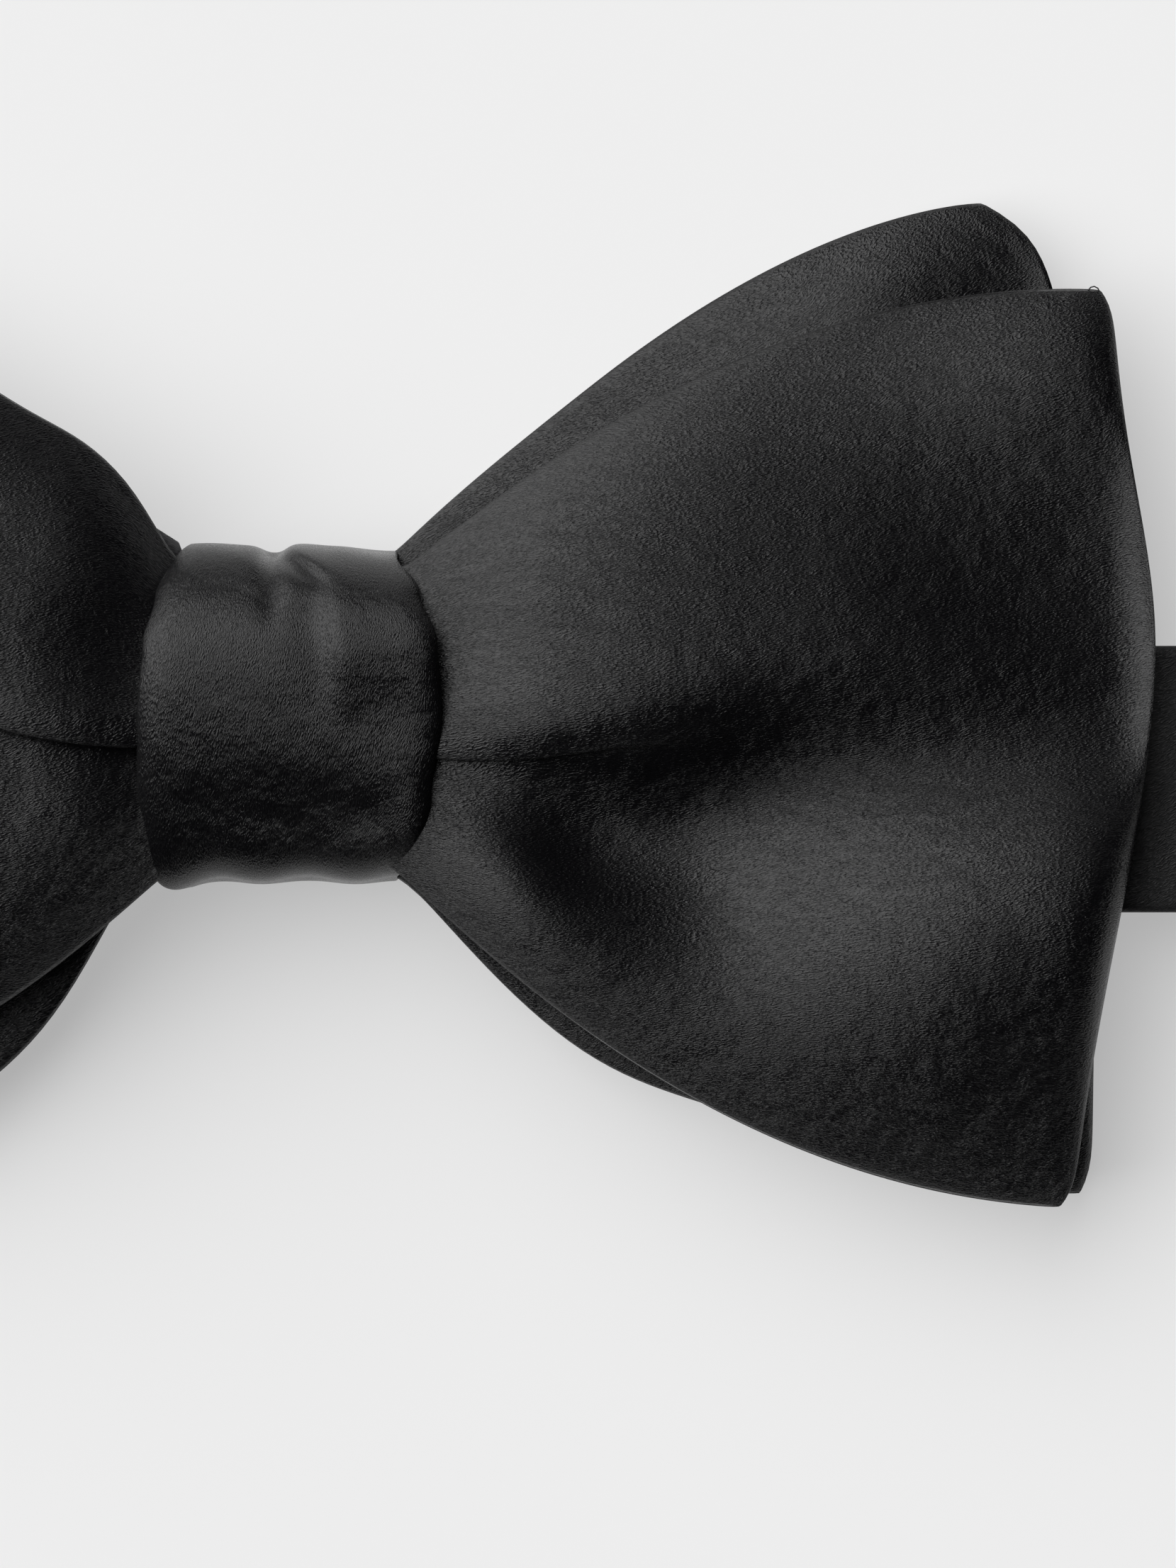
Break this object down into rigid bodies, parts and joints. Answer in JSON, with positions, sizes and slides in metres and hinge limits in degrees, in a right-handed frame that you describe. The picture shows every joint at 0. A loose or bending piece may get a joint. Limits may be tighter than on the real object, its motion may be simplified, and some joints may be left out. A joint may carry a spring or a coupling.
{
  "type": "bow tie",
  "caption": "Ready-tied satin bow tie: two flared layers under a wrapped knot, on a flat-folded neck band with a sliding adjuster, hook and eye.",
  "frame": {"origin": "on the rest plane, under the middle of the knot", "axes": "+X along the bow to the right as it lies face up, +Y up the knot, +Z out of the bow's face"},
  "size_m": [0.1964, 0.0764, 0.0174],
  "materials": {
    "black_satin": "woven silk satin with a soft sheen",
    "band_satin": "flatter satin tape",
    "strap_tape": "narrow woven tape",
    "interlining": "undyed napped cotton",
    "black_thread": "matt sewing thread",
    "plated_metal": "bright nickel plate"
  },
  "bodies": {
    "bow": {"front_bow_satin": "black_satin", "front_bow_interlining": "interlining", "back_bow_satin": "black_satin", "back_bow_interlining": "interlining", "knot_wrap_satin": "black_satin", "knot_interlining": "interlining", "knot_closing_stitches": "black_thread", "knot_tuck": "black_satin", "waist_binding_thread": "black_thread", "band_front_satin": "band_satin", "band_front_interlining": "interlining"},
    "right_band": {"band_right_fold": "band_satin", "band_right_end": "band_satin", "adjusting_strap": "strap_tape", "strap_return": "strap_tape", "strap_join_tack": "black_thread"},
    "slide": {"slide_buckle": "plated_metal", "strap_end_loop": "strap_tape", "end_loop_tack": "black_thread"},
    "hook": {"hook": "plated_metal"},
    "left_band": {"band_left_fold": "band_satin", "band_left_return": "band_satin", "eye_tab": "strap_tape", "eye_tab_tack": "black_thread"},
    "eye": {"eye": "plated_metal"}
  },
  "joints": [
    {"name": "right_fold", "type": "hinge", "parent": "bow", "child": "right_band", "pos_m": [0.09515, -0.0047, 0.00285], "axis": [0, -1, 0], "range_deg": [0, 165], "deforming": ["band_right_fold"]},
    {"name": "left_fold", "type": "hinge", "parent": "bow", "child": "left_band", "pos_m": [-0.09515, -0.0047, 0.00285], "axis": [0, 1, 0], "range_deg": [0, 165], "deforming": ["band_left_fold"]},
    {"name": "size_slide", "type": "slide", "parent": "right_band", "child": "slide", "axis": [1, 0, 0], "range_m": [-0.026, 0.018], "deforming": ["strap_return"]},
    {"name": "hook_swivel", "type": "hinge", "parent": "right_band", "child": "hook", "pos_m": [-0.036, -0.0047, 0.0016], "axis": [0, -1, 0], "range_deg": [0, 80]},
    {"name": "eye_swivel", "type": "hinge", "parent": "left_band", "child": "eye", "pos_m": [-0.0615, -0.0047, 0.0016], "axis": [0, 1, 0], "range_deg": [0, 80]}
  ]
}
